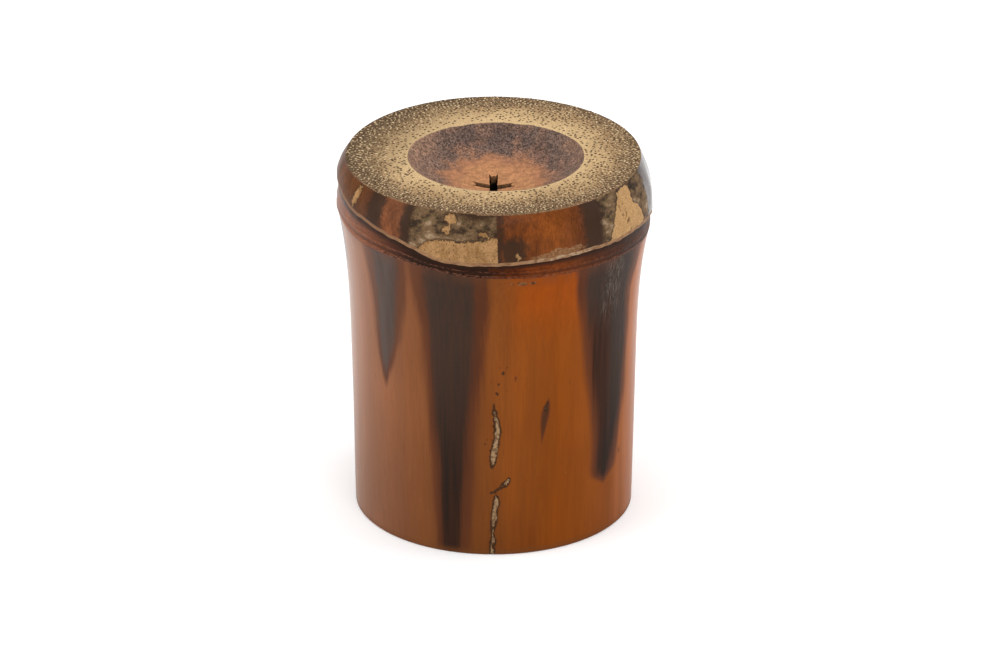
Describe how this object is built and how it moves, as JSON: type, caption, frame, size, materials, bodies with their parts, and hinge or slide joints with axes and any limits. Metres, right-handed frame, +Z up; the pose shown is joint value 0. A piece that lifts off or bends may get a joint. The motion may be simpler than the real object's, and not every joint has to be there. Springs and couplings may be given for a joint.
{
  "type": "tiki torch",
  "caption": "Short bamboo table torch: a varnished culm section whose node forms a burnt dish with a cross cut for the wick, over a pull-out fuel can with a knurled ring nut and wick tube.",
  "frame": {"origin": "centre of the culm's foot ring, on the surface that the torch stands on", "axes": "+Z up along the culm's axis, -Y towards the side with the long burn streak, +X to the right as seen from there"},
  "size_m": [0.079, 0.079, 0.0935],
  "materials": {
    "bamboo": "torched and varnished skin, raw sawn ends",
    "turned_wood": "fine turned, oiled",
    "cork": "raw pressed cork",
    "brass_wire": "drawn, lightly tarnished",
    "tinplate": "bright tinplate with fine scratches",
    "brass": "turned, lightly tarnished",
    "gasket": "matt",
    "glass_braid": "round braid, white"
  },
  "bodies": {
    "bamboo_shell": {"culm": "bamboo"},
    "insert": {"base_plug": "turned_wood", "plug_band": "cork", "ring_staple": "brass_wire", "can_saucer": "tinplate", "saucer_screw": "brass", "can_shell": "tinplate", "can_lid": "tinplate", "can_neck": "brass"},
    "ring": {"pull_ring": "brass_wire"},
    "burner": {"neck_gasket": "gasket", "wick_plate": "brass", "wick_tube": "brass"},
    "nut": {"ring_nut": "brass"},
    "wick_cord": {"wick": "glass_braid"}
  },
  "joints": [
    {"name": "insert_drop", "type": "slide", "parent": "bamboo_shell", "child": "insert", "axis": [0, 0, -1], "range_m": [0, 0.095]},
    {"name": "ring_swing", "type": "hinge", "parent": "insert", "child": "ring", "pos_m": [0, 0.009, 0.0032], "axis": [1, 0, 0], "range_deg": [0, 90]},
    {"name": "burner_rise", "type": "slide", "parent": "insert", "child": "burner", "axis": [0, 0, 1], "range_m": [0, 0.0031]},
    {"name": "nut_turn", "type": "hinge", "parent": "burner", "child": "nut", "pos_m": [0, 0, 0.066], "axis": [0, 0, 1], "range_deg": [0, 720]},
    {"name": "wick_raise", "type": "slide", "parent": "burner", "child": "wick_cord", "axis": [0, 0, 1], "range_m": [0, 0.012]}
  ],
  "couplings": [
    {"joint": "burner_rise", "follows": "nut_turn", "m_per_rad": 0.00023873}
  ]
}
